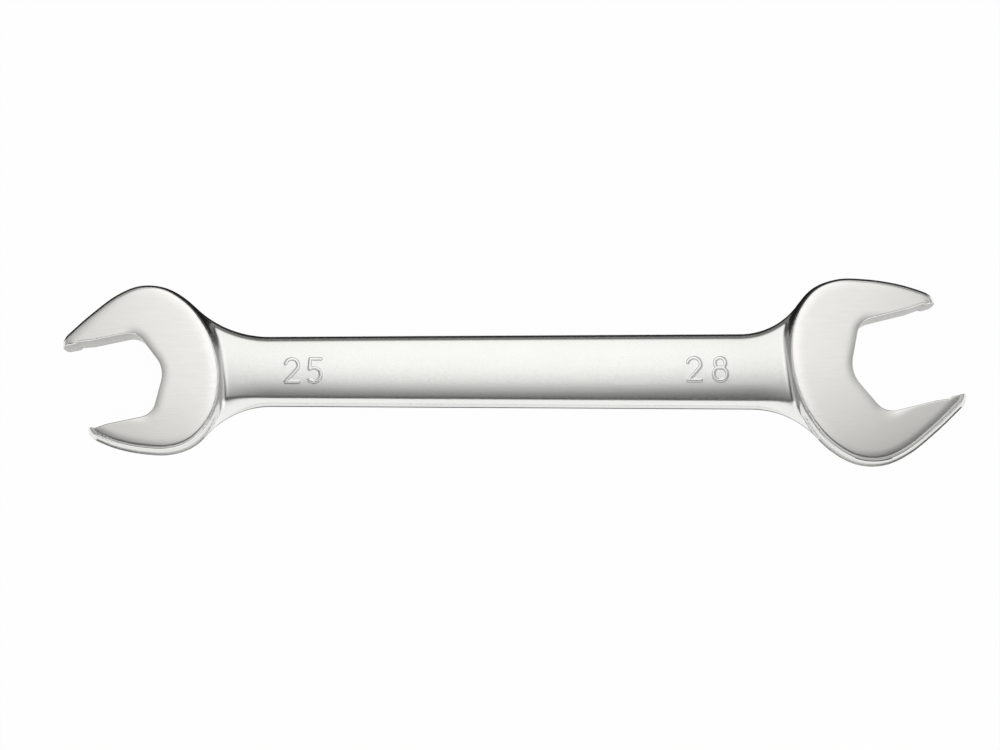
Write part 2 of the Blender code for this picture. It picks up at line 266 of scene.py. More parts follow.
def roundedLoop(corners, steps=14):
    # polygon whose corners each have a radius
    points = []
    for i, (corner, radius) in enumerate(corners):
        corner = np.asarray(corner, float)
        if radius == 0:
            points.append(corner)
            continue
        toLast = np.asarray(corners[i - 1][0]) - corner
        toNext = np.asarray(corners[(i + 1) % len(corners)][0]) - corner
        toLast, toNext = toLast / np.hypot(*toLast), toNext / np.hypot(*toNext)
        halfTurn = math.acos(float(np.clip(toLast @ toNext, -1, 1))) / 2
        middle = corner + (toLast + toNext) / np.hypot(*(toLast + toNext)) * radius / math.sin(halfTurn)
        first = corner + toLast * radius / math.tan(halfTurn) - middle
        last = corner + toNext * radius / math.tan(halfTurn) - middle
        for share in np.linspace(0.0, 1.0, steps):
            spoke = first * (1 - share) + last * share
            points.append(middle + spoke * radius / np.hypot(*spoke))
    return np.array(points)


def insetLoop(loop, distance):
    # moves a closed loop inwards, or outwards where the distance is negative
    before, after = np.roll(loop, 1, axis=0), np.roll(loop, -1, axis=0)
    first, second = loop - before, after - loop
    first /= np.hypot(*first.T)[:, None]
    second /= np.hypot(*second.T)[:, None]
    normals = np.column_stack((-(first + second)[:, 1], (first + second)[:, 0]))
    normals /= np.hypot(*normals.T)[:, None]
    stretch = (first[:, 0] * normals[:, 1] - first[:, 1] * normals[:, 0])[:, None]
    area = np.sum(loop[:, 0] * after[:, 1] - loop[:, 1] * after[:, 0])
    return loop + normals * distance * np.sign(area) / stretch


def findingTree(points):
    tree = kdtree.KDTree(len(points))
    for i, (x, y) in enumerate(points):
        tree.insert((x, y, 0), i)
    tree.balance()
    return tree


def makeOutline(loop):
    return {"loop": loop, "tree": findingTree(loop)}


def gapInside(outline, points):
    # distance from each point to a loop that runs anticlockwise, below zero outside it
    loop, find = outline["loop"], outline["tree"].find
    nearest = np.array([find((x, y, 0))[1] for x, y in points], int)
    gaps, signs = [], []
    for first, last in ((nearest - 1, nearest), (nearest, (nearest + 1) % len(loop))):
        start, edge = loop[first], loop[last] - loop[first]
        away = points - start
        share = np.clip(np.sum(away * edge, axis=1) / np.sum(edge ** 2, axis=1), 0, 1)
        gaps.append(np.hypot(*(away - edge * share[:, None]).T))
        signs.append(edge[:, 0] * away[:, 1] - edge[:, 1] * away[:, 0])
    before = gaps[0] < gaps[1]
    tie = np.abs(gaps[0] - gaps[1]) < sheet["sameGap"]
    sign = np.where(tie, signs[0] + signs[1], np.where(before, signs[0], signs[1]))
    return np.copysign(np.minimum(gaps[0], gaps[1]), sign)


def makeHead(end):
    side = (-1, 1)[end]
    turn = math.radians(forging["turns"][end]) + (0 if side > 0 else math.pi)
    mouth = np.array((math.cos(turn), math.sin(turn)))
    left = np.array((-mouth[1], mouth[0]))
    opening = forging["nuts"][end] + forging["clearance"]
    centre = np.array((side * forging["nutSpan"] / 2, side * forging["nutRise"] / 2))

    def place(shares):
        shares = np.asarray(shares, float) * opening
        return centre + shares[:, :1] * mouth + shares[:, 1:] * left

    short, long, back, reach = headFormShares[end]
    shares = []
    for along, across in headShares:
        behind = min(along - widestShare, 0.0) * (back - 1)
        ahead = max(along, 0.0) * (reach - 1) if across > 0 else 0.0
        shares.append((along + behind + ahead, across * (short if across > 0 else long)))
    outline = insetLoop(evenLoop(place(smoothLoop(shares)), sheet["outlineStep"]), forging["trim"])

    flat, soft, deep = opening / 2, forging["grooveRadius"], forging["grooveDepth"]
    tip = forging["tipRadius"]
    clear, outer = flat + 2 * tip, opening * mouthShare
    tipSide, deepest, throatSide = (share * opening for share in grooveShares)
    shortTip, longTip = tipShares[0] * reach * opening, tipShares[1] * opening
    sideCorner, backCorner, cornerRadius, backRadius = (
        share * opening for share in throatShares.values())
    corners = [
        ((outer, clear), 0), ((shortTip, clear), 0), ((shortTip, flat), tip),
        ((tipSide, flat), soft), ((deepest, flat + deep), soft), ((throatSide, flat), soft),
        ((-sideCorner, flat), cornerRadius), ((-backCorner, 0), backRadius),
        ((-sideCorner, -flat), cornerRadius),
        ((throatSide, -flat), soft), ((deepest, -flat - deep), soft), ((tipSide, -flat), soft),
        ((longTip, -flat), tip), ((longTip, -clear), 0), ((outer, -clear), 0),
    ]
    jaw = evenLoop(place(roundedLoop(corners) / opening), sheet["jawStep"])
    return {"side": side, "centre": centre, "mouth": mouth, "opening": opening,
            "outline": makeOutline(outline), "jaw": makeOutline(jaw),
            "flares": (forging["shortFlares"][end], forging["longFlares"][end])}


def straightHalf(x):
    share = np.clip(np.asarray(x) / forging["nutSpan"] + 0.5, 0, 1)
    narrow, wide = forging["shankWidths"]
    return (narrow + (wide - narrow) * share) / 2 - forging["trim"]


def findFlare(head, edge):
    # the flare's arc leaves the shank's edge at a tangent and touches the head's outline
    radius = head["flares"][0 if edge == head["side"] else 1]
    near, far = head["centre"][0], 0.0
    for _ in range(flareHalvings):
        start = (near + far) / 2
        centre = np.array((start, edge * (float(straightHalf(start)) + radius)))
        if -gapInside(head["outline"], centre[None])[0] < radius:
            near = start
        else:
            far = start
    loop = head["outline"]["loop"]
    touch = int(np.argmin(np.hypot(*(loop - centre).T)))
    return {"start": start, "radius": radius, "touch": touch, "end": loop[touch][0]}


def shankHalf(x, edge):
    x = np.asarray(x, float)
    half = straightHalf(np.clip(x, flares[-1, edge]["start"], flares[1, edge]["start"]))
    for side in (-1, 1):
        flare = flares[side, edge]
        run = np.clip(side * (x - flare["start"]), 0, abs(flare["end"] - flare["start"]))
        half = half + flare["radius"] - np.sqrt(flare["radius"] ** 2 - run ** 2)
    return half


def edgeOfShank(edge):
    x = np.arange(flares[-1, edge]["end"], flares[1, edge]["end"], sheet["outlineStep"] / 2)
    return np.column_stack((x, edge * shankHalf(x, edge)))[1:]


def loopPart(loop, first, last):
    return loop[first:last + 1] if last >= first else np.vstack((loop[first:], loop[:last + 1]))


small, large = heads = (makeHead(0), makeHead(1))
flares = {(head["side"], edge): findFlare(head, edge) for head in heads for edge in (-1, 1)}
outer = evenLoop(np.vstack((
    loopPart(large["outline"]["loop"], flares[1, -1]["touch"], flares[1, 1]["touch"]),
    edgeOfShank(1)[::-1],
    loopPart(small["outline"]["loop"], flares[-1, 1]["touch"], flares[-1, -1]["touch"]),
    edgeOfShank(-1),
)), sheet["outlineStep"])
outerLine = makeOutline(outer)
middle = (outer.min(0) + outer.max(0)) / 2
print("plan of the forging,", len(outer), "points round it")


# Raised size numbers: pen strokes, from each digit's lower left corner

numbers = {
    "places": (("25", -67.1, -4.0, 1.95), ("28", 50.3, -3.65, 2.7)),  # lower left corner, digits' gap
    "digitWidths": {"2": 4.9, "5": 4.6, "8": 5.1},
    "digitScale": 0.975,
    "topWidth": 0.56,                # of a stroke, where it is flat
    "footWidth": 1.0,
    "relief": 0.095,
    "cornerTurn": 40.0,              # degrees: a sharper turn of a stroke gets a round outside
    "strokeStep": 0.12,
    "arcSteps": 48,
    "roundEnd": 345.0,               # degrees of the ring of points round a stroke's end
}


def arcStroke(centre, radius, first, last):
    angles = np.radians(np.linspace(first, last, numbers["arcSteps"]))
    return np.column_stack((centre[0] + radius * np.cos(angles), centre[1] + radius * np.sin(angles)))


digitStrokes = {
    "2": [np.vstack((arcStroke((2.4, 5.45), 1.95, 165, -35), (0.6, 0.5), (4.4, 0.5)))],
    "5": [np.vstack(((4.2, 7.4), (1.0, 7.4), arcStroke((2.1, 2.6), 2.1, 130, -130)))],
    "8": [arcStroke((2.55, 5.8), 1.6, 0, 360), arcStroke((2.55, 2.5), 2.0, 0, 360)],
}


def strokesOfNumbers():
    strokes = []
    for word, x, y, gap in numbers["places"]:
        for digit in word:
            strokes += [evenLine(stroke * numbers["digitScale"] + middle + (x, y), numbers["strokeStep"])
                        for stroke in digitStrokes[digit]]
            x += numbers["digitWidths"][digit] * numbers["digitScale"] + gap
    return strokes


strokes = strokesOfNumbers()
findStroke = findingTree(np.vstack(
    [evenLine(stroke, numbers["strokeStep"] / 3) for stroke in strokes])).find


def strokeGapOf(points):
    return np.array([findStroke((x, y, 0))[2] for x, y in points])


# Flat sheet over the plan: points in rings along the edges and in even fields between them

def jawGapOf(points):
    return np.minimum(-gapInside(small["jaw"], points), -gapInside(large["jaw"], points))


def headGapOf(points):
    return np.maximum(gapInside(small["outline"], points), gapInside(large["outline"], points))


def evenField(spacing):
    low, high = outer.min(0), outer.max(0)
    rows = np.arange(low[1], high[1], spacing * math.sqrt(3) / 2)
    columns = np.arange(low[0], high[0], spacing)
    return np.array([(x + (row % 2) * spacing / 2, y) for row, y in enumerate(rows) for x in columns])


def addPoints(known, points, spacing):
    # leaves out what lies too near to a point that is there
    find = findingTree(np.vstack(known)).find
    known.append(points[[find((x, y, 0))[2] > spacing for x, y in points]])


half = forging["thickness"] / 2
draft, ground = math.radians(forging["draft"]), math.radians(forging["groundAngle"])
corner = forging["cornerRadius"]
straightHeight = half - corner * (math.sin(ground) - math.sin(draft))
straightInset = straightHeight * math.tan(draft)
cornerBase = straightHeight - corner * math.sin(draft)
cornerMiddle = straightInset + corner * math.cos(draft)
groundInset = cornerMiddle - corner * math.cos(ground)


def addRimPoints(known):
    # rings along both sides of the ground faces' edges, then round the whole plan
    rings = [groundInset + offset for offset in sheet["creaseOffsets"]]
    for inset in rings:
        for head in heads:
            ring = insetLoop(head["outline"]["loop"], inset)
            rim = gapInside(outerLine, ring)
            known.append(ring[(rim > inset + sheet["leastGap"]) & (jawGapOf(ring) > 2 * sheet["leastGap"])])
    for inset in (*sheet["rimInsets"], *rings, *sheet["deepInsets"]):
        ring = insetLoop(outer, inset)
        onMetal = jawGapOf(ring) > 1.5 * sheet["leastGap"]
        ring = ring[(gapInside(outerLine, ring) > inset * sheet["ringShare"]) & onMetal]
        addPoints(known, ring, sheet["rimSpacings"][inset >= sheet["fineInset"]])


def addJawPoints(known):
    for offset in sheet["jawOffsets"]:
        for head in heads:
            ring = insetLoop(head["jaw"]["loop"], -offset)
            gap = -gapInside(head["jaw"], ring)
            onMetal = gapInside(outerLine, ring) > 1.5 * sheet["leastGap"]
            ring = ring[(gap > offset * sheet["ringShare"]) & onMetal]
            addPoints(known, ring, sheet["jawSpacings"][offset >= sheet["fineOffset"]])


def addStrokePoints(known):
    # both edges of each pen stroke, and round its ends and turns
    top, foot = numbers["topWidth"] / 2, numbers["footWidth"] / 2
    for offset in (foot, top, (top * 2 + foot) / 3, (top + foot * 2) / 3):
        for stroke in strokes:
            run = np.diff(stroke, axis=0)
            run /= np.hypot(*run.T)[:, None]
            turned = np.sum(run[1:] * run[:-1], axis=1) < math.cos(math.radians(numbers["cornerTurn"]))
            aside = np.column_stack((-run[:, 1], run[:, 0])) * offset
            middles = (stroke[1:] + stroke[:-1]) / 2
            ends = (0, -1, *(np.flatnonzero(turned) + 1))
            rounds = [stroke[k] + arcStroke((0, 0), offset, 0, numbers["roundEnd"])[::2] for k in ends]
            for ring in (middles + aside, middles - aside, *rounds):
                ring = ring[strokeGapOf(ring) > offset * sheet["strokeShare"]]
                addPoints(known, ring, numbers["strokeStep"] * sheet["strokeSpacing"])
    area = sheet["strokeField"]
    field = evenField(area["step"])
    keep = (np.abs(field[:, 1]) < area["reach"]) & (strokeGapOf(field) < area["gap"])
    addPoints(known, field[keep], area["spacing"])


def addFieldPoints(known):
    cove = sheet["cove"]
    for step in sheet["fieldSteps"]:
        field = evenField(step)
        rim, gap = gapInside(outerLine, field), headGapOf(field)
        keep = (rim > sheet["fieldClear"]) & (jawGapOf(field) > sheet["fieldClear"])
        if step == sheet["fieldSteps"][0]:
            keep &= (gap > cove["from"]) & (gap < cove["to"]) & (rim > cove["rim"])
            keep &= np.abs(field[:, 0]) < cove["end"]
        elif step == sheet["fieldSteps"][1]:
            keep &= (gap < cove["to"]) & (rim < sheet["headRim"])
        addPoints(known, field[keep], step * sheet["fieldSpacing"])


def sheetPoints():
    known = [outer] + [head["jaw"]["loop"] for head in heads]
    for add in (addRimPoints, addJawPoints, addStrokePoints, addFieldPoints):
        add(known)
    return np.vstack(known)


def makeSheet():
    edges, first = [], 0
    for loop in [outer] + [head["jaw"]["loop"] for head in heads]:
        edges += [(first + i, first + (i + 1) % len(loop)) for i in range(len(loop))]
        first += len(loop)
    points, _, faces = delaunay_2d_cdt(
        [Vector(p) for p in sheetPoints()], edges, [], 0, sheet["samePoint"], False)[:3]
    points, faces = np.array([(p.x, p.y) for p in points]), np.array([f for f in faces if len(f) == 3])
    middles = points[faces].mean(axis=1)
    faces = faces[(gapInside(outerLine, middles) > 0) & (jawGapOf(middles) > 0)]
    used, faces = np.unique(faces, return_inverse=True)
    points, faces = points[used], faces.reshape(-1, 3)
    sides = points[faces[:, 1:]] - points[faces[:, :1]]
    turned = sides[:, 0, 0] * sides[:, 1, 1] < sides[:, 0, 1] * sides[:, 1, 0]
    faces[turned] = faces[turned][:, ::-1]
    return points, faces


def easeIn(value, low, high):
    share = np.clip((value - low) / (high - low), 0, 1)
    return share * share * (3 - 2 * share)


def towardsMouth(points):
    # how far towards the mouth a point lies from its head's centre, as a share of the opening
    shares = [(points - head["centre"]) @ head["mouth"] / head["opening"] for head in heads]
    return np.where(points[:, 0] < 0, shares[0], shares[1])


flat, triangles = makeSheet()
across = flat[:, 1]
halfHere = np.where(across < 0, shankHalf(flat[:, 0], -1), shankHalf(flat[:, 0], 1))
underHead = np.abs(flat[:, 0]) > forging["shankEnds"]
headMiddle = np.where(flat[:, 0] < 0, small["centre"][1], large["centre"][1])
sheetMesh = bpy.data.meshes.new("sheet")
sheetMesh.from_pydata([(x * mm, y * mm, 0) for x, y in flat], [], triangles.tolist())
for name, values in {
    "headGap": headGapOf(flat) * mm,
    "jawGap": jawGapOf(flat) * mm,
    "strokeGap": strokeGapOf(flat) * mm,
    "shankHalf": np.where(underHead, 0, halfHere) * mm,
    "spread": halfHere / straightHalf(flat[:, 0]) - 1,
    "flare": np.where(across < 0, halfHere - straightHalf(flat[:, 0]), 0) * mm,
    "nearOff": np.maximum(headMiddle - across, 0) * mm,
    "towardsTip": easeIn(towardsMouth(flat), *polishShares["tips"]),
    "towardsThroat": 1 - easeIn(towardsMouth(flat), *polishShares["throat"]),
}.items():
    sheetMesh.attributes.new(name, "FLOAT", "POINT").data.foreach_set("value", values.astype(np.float32))
print("sheet with", len(flat), "points and", len(triangles), "triangles")


# Geometry nodes that lift the sheet to the forging's height, mirror it and close its walls

mathNode = "ShaderNodeMath"
freeEdge = 1.5                           # an edge with fewer faces than this is a free one
marked = 0.5                             # a mark is 0 or 1
arcTree = bpy.data.node_groups.new("arcHeight", "GeometryNodeTree")
for name in ("distance", "width", "height"):
    arcTree.interface.new_socket(name, in_out="INPUT", socket_type="NodeSocketFloat")
arcTree.interface.new_socket("value", in_out="OUTPUT", socket_type="NodeSocketFloat")
given = addNode(arcTree, "NodeGroupInput").outputs
share = addNode(arcTree, mathNode, {"operation": "DIVIDE", "use_clamp": True}, {0: given[0], 1: given[1]})
rest = addNode(arcTree, mathNode, {"operation": "SUBTRACT"}, {0: 1.0, 1: share})
square = addNode(arcTree, mathNode, {"operation": "MULTIPLY"}, {0: rest, 1: rest})
left = addNode(arcTree, mathNode, {"operation": "SUBTRACT"}, {0: 1.0, 1: square})
rise = addNode(arcTree, mathNode, {"operation": "SQRT"}, {0: left})
arc = addNode(arcTree, mathNode, {"operation": "MULTIPLY"}, {0: rise, 1: given[2]})
addNode(arcTree, "NodeGroupOutput", {}, {0: arc})

liftSizes = {
    "halfThickness": half, "shankHeight": forging["shankThickness"] / 2,
    "crownRadius": forging["crownRadius"], "edgeWidth": forging["edgeWidth"],
    "partingLand": forging["partingLand"], "straightInset": straightInset,
    "cornerRadius": corner, "cornerStart": cornerMiddle - corner, "cornerMiddle": cornerMiddle,
    "cornerBase": cornerBase, "groundInset": groundInset, "groundBreak": forging["groundBreak"],
    "coveRadius": forging["coveRadius"], "jawBreak": forging["jawBreak"],
    "coveFades": 1.0, "leastCove": 0.5,          # where the shank is this low, the cove is the least
    "nearRadius": 500.0,                         # the belt rounds the near half of a ground face a little
    "rimWidth": 2.5, "rimDrop": 0.1,             # polished off round the ground face
    "tipWidth": 2.8, "tipDrop": 0.12,            # and near the tips
    "creaseWidth": 0.45, "creaseDrop": 0.07,     # more steeply at its very edge
    "jawWidth": 0.8, "jawDrop": 0.02,            # along the jaw's flats
    "strokeTop": numbers["topWidth"] / 2, "strokeFoot": numbers["footWidth"] / 2,
    "relief": numbers["relief"],
    "throatWidth": 2.6, "throatDrop": 0.115,     # and round the throat
    "jawEdge": 0.01, "weld": 0.001,              # what counts as on the jaw's edge, and as one point
}
liftShares = {"crownSpread": crownSpreadShare, "flareEdge": flareEdgeShare, "flarePower": flareEdgePower,
              "draftSlope": 1 / math.tan(draft), "leastLean": math.sin(draft)}
lift = newGeometryTree("liftForging", [*liftSizes, *liftShares])
size = addNode(lift, "NodeGroupInput").outputs
place = addNode(lift, "ShaderNodeSeparateXYZ", {}, {0: addNode(lift, "GeometryNodeInputPosition")}).outputs
gap, jaw, stroke, width, spread, flare, nearOff, tip, throat = (
    addNode(lift, "GeometryNodeInputNamedAttribute", {"data_type": "FLOAT"}, {"Name": name})
    for name in ("headGap", "jawGap", "strokeGap", "shankHalf", "spread", "flare", "nearOff",
                 "towardsTip", "towardsThroat"))

# Shank: a crown that flattens in the flares. Its edge falls to the parting line in an ellipse,
# and more straightly where the near side flares
off = addNode(lift, mathNode, {"operation": "ABSOLUTE"}, {0: place["Y"]})
flatter = addNode(lift, mathNode, {"operation": "MULTIPLY_ADD"}, {
    0: spread, 1: size["crownSpread"], 2: 1.0})
radius = addNode(lift, mathNode, {"operation": "MULTIPLY"}, {0: flatter, 1: size["crownRadius"]})
diameter = addNode(lift, mathNode, {"operation": "MULTIPLY"}, {0: radius, 1: 2.0})
offSquare = addNode(lift, mathNode, {"operation": "MULTIPLY"}, {0: off, 1: off})
fall = addNode(lift, mathNode, {"operation": "DIVIDE"}, {0: offSquare, 1: diameter})
crown = addNode(lift, mathNode, {"operation": "SUBTRACT"}, {0: size["shankHeight"], 1: fall})
widthSquare = addNode(lift, mathNode, {"operation": "MULTIPLY"}, {0: width, 1: width})
edgeFall = addNode(lift, mathNode, {"operation": "DIVIDE"}, {0: widthSquare, 1: diameter})
aboveLand = addNode(lift, mathNode, {"operation": "SUBTRACT"}, {
    0: size["shankHeight"], 1: size["partingLand"]})
edgeLeft = addNode(lift, mathNode, {"operation": "SUBTRACT"}, {0: aboveLand, 1: edgeFall})
edgeHeight = addNode(lift, mathNode, {"operation": "MAXIMUM"}, {0: edgeLeft, 1: 0.0})
fromEdge = addNode(lift, mathNode, {"operation": "SUBTRACT"}, {0: width, 1: off})
edgeWide = addNode(lift, mathNode, {"operation": "MULTIPLY_ADD"}, {
    0: flare, 1: size["flareEdge"], 2: size["edgeWidth"]})
edgeArc = addNode(lift, "GeometryNodeGroup", {"node_tree": arcTree}, {
    "distance": fromEdge, "width": edgeWide, "height": edgeHeight})
roundDrop = addNode(lift, mathNode, {"operation": "SUBTRACT"}, {0: edgeHeight, 1: edgeArc})
edgeShare = addNode(lift, mathNode, {"operation": "DIVIDE", "use_clamp": True}, {0: fromEdge, 1: edgeWide})
edgeRest = addNode(lift, mathNode, {"operation": "SUBTRACT"}, {0: 1.0, 1: edgeShare})
bend = addNode(lift, mathNode, {"operation": "POWER"}, {0: edgeRest, 1: size["flarePower"]})
straightDrop = addNode(lift, mathNode, {"operation": "MULTIPLY"}, {0: bend, 1: edgeHeight})
straightness = addNode(lift, mathNode, {"operation": "DIVIDE", "use_clamp": True}, {0: flare, 1: edgeWide})
edgeDrop = addNode(lift, "ShaderNodeMix", {"data_type": "FLOAT"}, {
    0: straightness, 2: roundDrop, 3: straightDrop})
shank = addNode(lift, mathNode, {"operation": "SUBTRACT"}, {0: crown, 1: edgeDrop})

# Head wall: drafted from the parting line, then a round corner
drafted = addNode(lift, mathNode, {"operation": "MULTIPLY"}, {0: gap, 1: size["draftSlope"]})
fromStart = addNode(lift, mathNode, {"operation": "SUBTRACT"}, {0: gap, 1: size["cornerStart"]})
cornerArc = addNode(lift, "GeometryNodeGroup", {"node_tree": arcTree}, {
    "distance": fromStart, "width": size["cornerRadius"], "height": size["cornerRadius"]})
cornered = addNode(lift, mathNode, {"operation": "ADD"}, {0: cornerArc, 1: size["cornerBase"]})
onDraft = addNode(lift, mathNode, {"operation": "LESS_THAN"}, {0: gap, 1: size["straightInset"]})
wall = addNode(lift, "ShaderNodeMix", {"data_type": "FLOAT"}, {0: onDraft, 2: cornered, 3: drafted})

# Cove: a ball that rolls on the shank along the head's wall, smaller where the shank is low
cove = addNode(lift, "ShaderNodeMapRange", {}, {
    "Value": shank, "From Min": size["coveFades"], "From Max": size["shankHeight"],
    "To Min": size["leastCove"], "To Max": size["coveRadius"]})
ballHeight = addNode(lift, mathNode, {"operation": "ADD"}, {0: shank, 1: cove})
reach = addNode(lift, mathNode, {"operation": "ADD"}, {0: cove, 1: size["cornerRadius"]})
ballAbove = addNode(lift, mathNode, {"operation": "SUBTRACT"}, {0: ballHeight, 1: size["cornerBase"]})
leanRaw = addNode(lift, mathNode, {"operation": "DIVIDE", "use_clamp": True}, {0: ballAbove, 1: reach})
lean = addNode(lift, mathNode, {"operation": "MAXIMUM"}, {0: leanRaw, 1: size["leastLean"]})
leanLeft = addNode(lift, mathNode, {"operation": "SUBTRACT"}, {0: 1.0, 1: lean})
touchRise = addNode(lift, "GeometryNodeGroup", {"node_tree": arcTree}, {
    "distance": leanLeft, "width": 1.0, "height": 1.0})
ballOff = addNode(lift, mathNode, {"operation": "MULTIPLY"}, {0: reach, 1: touchRise})
ballGap = addNode(lift, mathNode, {"operation": "SUBTRACT"}, {0: size["cornerMiddle"], 1: ballOff})
past = addNode(lift, mathNode, {"operation": "SUBTRACT"}, {0: gap, 1: ballGap})
pastZero = addNode(lift, mathNode, {"operation": "MAXIMUM"}, {0: past, 1: 0.0})
longest = addNode(lift, mathNode, {"operation": "MULTIPLY"}, {0: cove, 1: touchRise})
run = addNode(lift, mathNode, {"operation": "MINIMUM"}, {0: pastZero, 1: longest})
runLeft = addNode(lift, mathNode, {"operation": "SUBTRACT"}, {0: cove, 1: run})
ballArc = addNode(lift, "GeometryNodeGroup", {"node_tree": arcTree}, {
    "distance": runLeft, "width": cove, "height": cove})
coved = addNode(lift, mathNode, {"operation": "SUBTRACT"}, {0: ballHeight, 1: ballArc})
forged = addNode(lift, mathNode, {"operation": "MAXIMUM"}, {0: wall, 1: coved})

# Ground face: flat, polished off softly at its rim, more so at the tips and round the throat
fromGround = addNode(lift, mathNode, {"operation": "SUBTRACT"}, {0: gap, 1: size["groundInset"]})
nearSquare = addNode(lift, mathNode, {"operation": "MULTIPLY"}, {0: nearOff, 1: nearOff})
nearWidth = addNode(lift, mathNode, {"operation": "MULTIPLY"}, {0: size["nearRadius"], 1: 2.0})
nearFall = addNode(lift, mathNode, {"operation": "DIVIDE"}, {0: nearSquare, 1: nearWidth})
face = addNode(lift, mathNode, {"operation": "SUBTRACT"}, {0: size["halfThickness"], 1: nearFall})
for distance, towards, sizes in (
        (fromGround, tip, ("rimWidth", "tipWidth", "rimDrop", "tipDrop")),
        (fromGround, tip, ("creaseWidth", "creaseWidth", "creaseDrop", "creaseDrop")),
        (jaw, throat, ("jawWidth", "throatWidth", "jawDrop", "throatDrop"))):
    wide, deep = (addNode(lift, "ShaderNodeMapRange", {}, {
        "Value": towards, "To Min": size[least], "To Max": size[most]})
        for least, most in (sizes[:2], sizes[2:]))
    covered = addNode(lift, mathNode, {"operation": "DIVIDE", "use_clamp": True}, {0: distance, 1: wide})
    bare = addNode(lift, mathNode, {"operation": "SUBTRACT"}, {0: 1.0, 1: covered})
    bareSquare = addNode(lift, mathNode, {"operation": "MULTIPLY"}, {0: bare, 1: bare})
    polished = addNode(lift, mathNode, {"operation": "MULTIPLY"}, {0: bareSquare, 1: deep})
    face = addNode(lift, mathNode, {"operation": "SUBTRACT"}, {0: face, 1: polished})
isGround = addNode(lift, mathNode, {"operation": "LESS_THAN"}, {0: face, 1: forged})
lowest = addNode(lift, mathNode, {"operation": "SMOOTH_MIN"}, {0: forged, 1: face, 2: size["groundBreak"]})
breakArc = addNode(lift, "GeometryNodeGroup", {"node_tree": arcTree}, {
    "distance": jaw, "width": size["jawBreak"], "height": size["jawBreak"]})
breakDrop = addNode(lift, mathNode, {"operation": "SUBTRACT"}, {0: size["jawBreak"], 1: breakArc})
broken = addNode(lift, mathNode, {"operation": "SUBTRACT"}, {0: lowest, 1: breakDrop})
height = addNode(lift, mathNode, {"operation": "MAXIMUM"}, {0: broken, 1: size["partingLand"]})

# Both skins, the walls between their free edges, and the three finishes
grounded = addNode(lift, "GeometryNodeStoreNamedAttribute", {"data_type": "FLOAT", "domain": "POINT"}, {
    "Geometry": size["Geometry"], "Name": "ground", "Value": isGround})
measured = addNode(lift, "GeometryNodeStoreNamedAttribute", {"data_type": "FLOAT", "domain": "POINT"}, {
    "Geometry": grounded, "Name": "height", "Value": height})
stored = addNode(lift, "GeometryNodeInputNamedAttribute", {"data_type": "FLOAT"}, {"Name": "height"})
sunk = addNode(lift, mathNode, {"operation": "MULTIPLY"}, {0: stored, 1: -1.0})
numberRise = addNode(lift, "ShaderNodeMapRange", {"interpolation_type": "SMOOTHSTEP"}, {
    "Value": stroke, "From Min": size["strokeTop"], "From Max": size["strokeFoot"],
    "To Min": size["relief"], "To Max": 0.0})
numbered = addNode(lift, mathNode, {"operation": "ADD"}, {0: stored, 1: numberRise})
above = addNode(lift, "ShaderNodeCombineXYZ", {}, {"X": place["X"], "Y": place["Y"], "Z": numbered})
below = addNode(lift, "ShaderNodeCombineXYZ", {}, {"X": place["X"], "Y": place["Y"], "Z": sunk})
upper = addNode(lift, "GeometryNodeSetPosition", {}, {"Geometry": measured, "Position": above})
lower = addNode(lift, "GeometryNodeSetPosition", {}, {"Geometry": measured, "Position": below})
lowerSkin = addNode(lift, "GeometryNodeFlipFaces", {}, {"Mesh": lower})
neighbours = addNode(lift, "GeometryNodeInputMeshEdgeNeighbors")
alone = addNode(lift, mathNode, {"operation": "LESS_THAN"}, {0: neighbours, 1: freeEdge})
walled = addNode(lift, "GeometryNodeExtrudeMesh", {"mode": "EDGES"}, {
    "Mesh": upper, "Selection": alone, "Offset Scale": 0.0})
closed = addNode(lift, "GeometryNodeSetPosition", {}, {
    "Geometry": walled, "Selection": walled.outputs["Top"], "Position": below})
atJaw = addNode(lift, mathNode, {"operation": "LESS_THAN"}, {0: jaw, 1: size["jawEdge"]})
jawWall = addNode(lift, mathNode, {"operation": "MULTIPLY"}, {0: atJaw, 1: walled.outputs["Side"]})
broached = addNode(lift, "GeometryNodeStoreNamedAttribute", {"data_type": "FLOAT", "domain": "FACE"}, {
    "Geometry": closed, "Name": "broached", "Value": jawWall})
joined = addNode(lift, "GeometryNodeJoinGeometry")
lift.links.new(lowerSkin.outputs[0], joined.inputs[0])
lift.links.new(broached.outputs[0], joined.inputs[0])
welded = addNode(lift, "GeometryNodeMergeByDistance", {}, {"Geometry": joined, "Distance": size["weld"]})
real = addNode(lift, "GeometryNodeRealizeInstances", {}, {"Geometry": welded})
finished = addNode(lift, "GeometryNodeSetMaterial", {}, {"Geometry": real, "Material": blastedChrome})
for name, material in (("ground", groundChrome), ("broached", broachedChrome)):
    mark = addNode(lift, "GeometryNodeInputNamedAttribute", {"data_type": "FLOAT"}, {"Name": name})
    chosen = addNode(lift, mathNode, {"operation": "GREATER_THAN"}, {0: mark, 1: marked})
    finished = addNode(lift, "GeometryNodeSetMaterial", {}, {
        "Geometry": finished, "Selection": chosen, "Material": material})
addNode(lift, "NodeGroupOutput", {}, {0: finished})

body = growPiece("forging", newObject("sheet", sheetMesh), lift,
                 {**{name: value * mm for name, value in liftSizes.items()}, **liftShares})
body.data.transform(Matrix.Translation((-middle[0] * mm, -middle[1] * mm, half * mm)))
body.data.set_sharp_from_angle(angle=math.radians(sharpAngle))
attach(body, "root")
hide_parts("wrench_body")
print("forging with", len(body.data.vertices), "points and", len(body.data.polygons), "faces")


# Floor, light and camera

